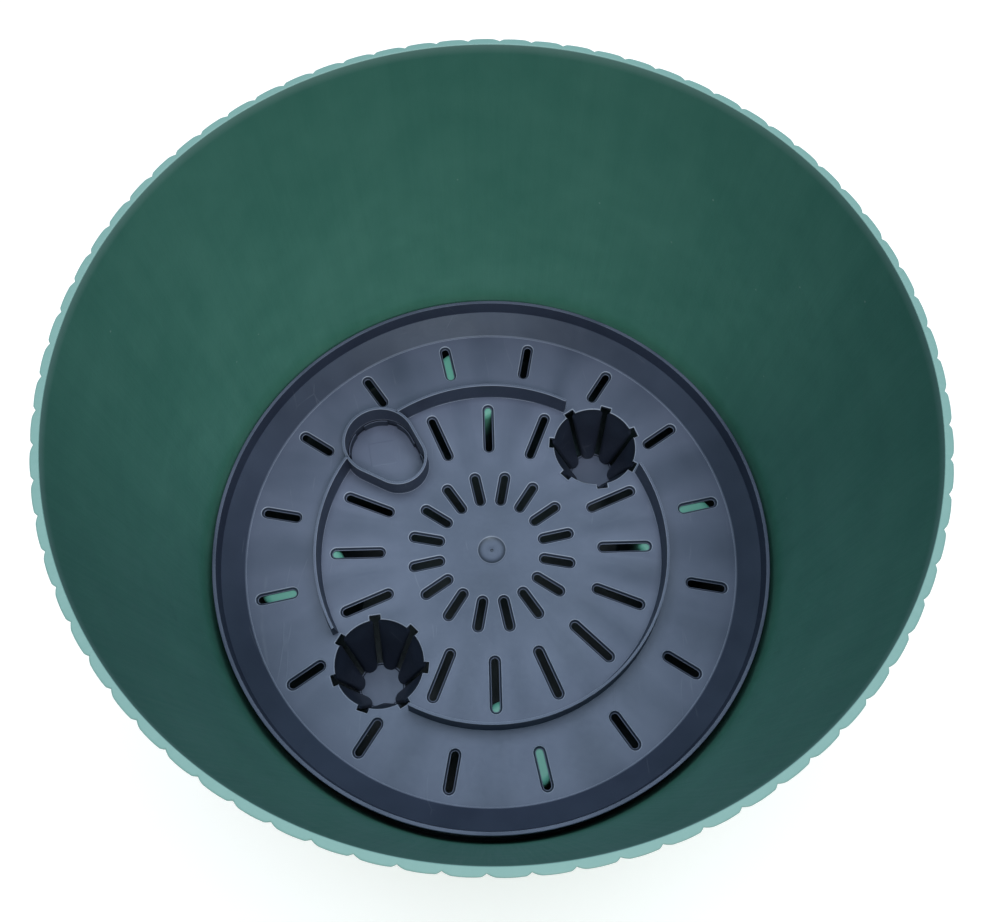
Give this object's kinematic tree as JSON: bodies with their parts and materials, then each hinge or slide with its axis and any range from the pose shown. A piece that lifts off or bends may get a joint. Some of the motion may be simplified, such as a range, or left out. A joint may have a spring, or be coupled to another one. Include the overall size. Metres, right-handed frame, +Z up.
{
  "type": "self-watering plant pot",
  "caption": "Round fluted plant pot with a lift-out slotted reservoir insert, wick cups and a blanked fill port.",
  "frame": {"origin": "centre of the pot's foot, on the ground", "axes": "+Z up along the pot's axis; the fill port lies at 135 degrees and the wick cups at 45 and 225 degrees from +X"},
  "size_m": [0.4, 0.4, 0.315],
  "materials": {
    "pot_plastic": "satin",
    "insert_plastic": "satin"
  },
  "bodies": {
    "pot": {"pot_wall": "pot_plastic", "pot_floor": "pot_plastic", "support_pillar_right": "pot_plastic", "support_pillar_rear": "pot_plastic", "support_pillar_left": "pot_plastic", "support_pillar_front": "pot_plastic"},
    "insert": {"insert_plate": "insert_plastic", "insert_rim": "insert_plastic", "ring_wall_rear": "insert_plastic", "ring_wall_left": "insert_plastic", "ring_wall_front": "insert_plastic", "fill_collar": "insert_plastic", "wick_cup_rear": "insert_plastic", "wick_cup_front": "insert_plastic"},
    "blank": {"fill_port_blank": "insert_plastic"}
  },
  "joints": [
    {"name": "insert_lift", "type": "slide", "parent": "pot", "child": "insert", "axis": [0, 0, 1], "range_m": [0, 0.31]},
    {"name": "blank_lift", "type": "slide", "parent": "insert", "child": "blank", "axis": [0, 0, 1], "range_m": [0, 0.045]}
  ]
}
